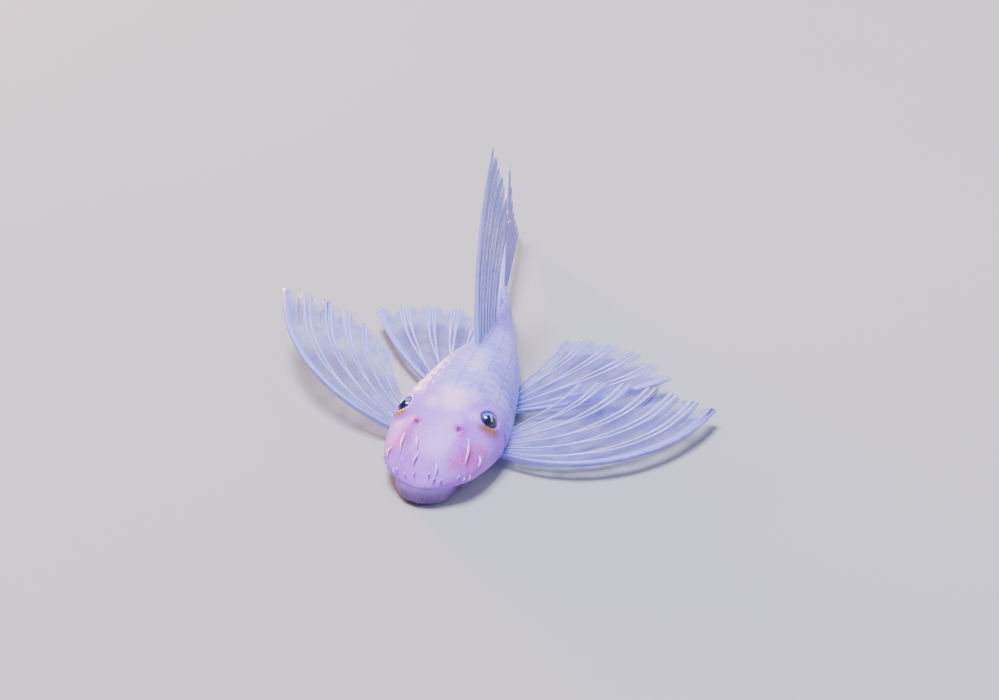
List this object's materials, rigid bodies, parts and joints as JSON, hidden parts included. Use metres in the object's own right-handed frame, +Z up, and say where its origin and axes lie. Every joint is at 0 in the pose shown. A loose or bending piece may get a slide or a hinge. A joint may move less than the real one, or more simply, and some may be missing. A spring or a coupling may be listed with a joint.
{
  "type": "bristlenose pleco",
  "caption": "Still life-size young long-finned bristlenose pleco, pale with dark eyes, resting on its sucker mouth and belly with the fins spread.",
  "frame": {"origin": "centre of the bounding box's base, on the floor that the fish rests on", "axes": "+Z up, the tail towards +Y and the head towards -Y, turned a little to -X; the fish's left side is at +X"},
  "size_m": [0.0628, 0.0748, 0.0307],
  "materials": {
    "head_skin": "satin",
    "body_skin": "satin",
    "lip_skin": "satin",
    "eye": "gloss",
    "fin": "satin"
  },
  "bodies": {
    "root": {"head": "head_skin", "trunk": "body_skin", "tail_stalk": "body_skin", "lips": "lip_skin", "eye_left": "eye", "eye_right": "eye", "pectoral_fin_left": "fin", "pectoral_fin_right": "fin", "pelvic_fin_left": "fin", "pelvic_fin_right": "fin", "dorsal_fin": "fin", "adipose_fin": "fin", "anal_fin": "fin", "caudal_fin": "fin"}
  },
  "joints": []
}
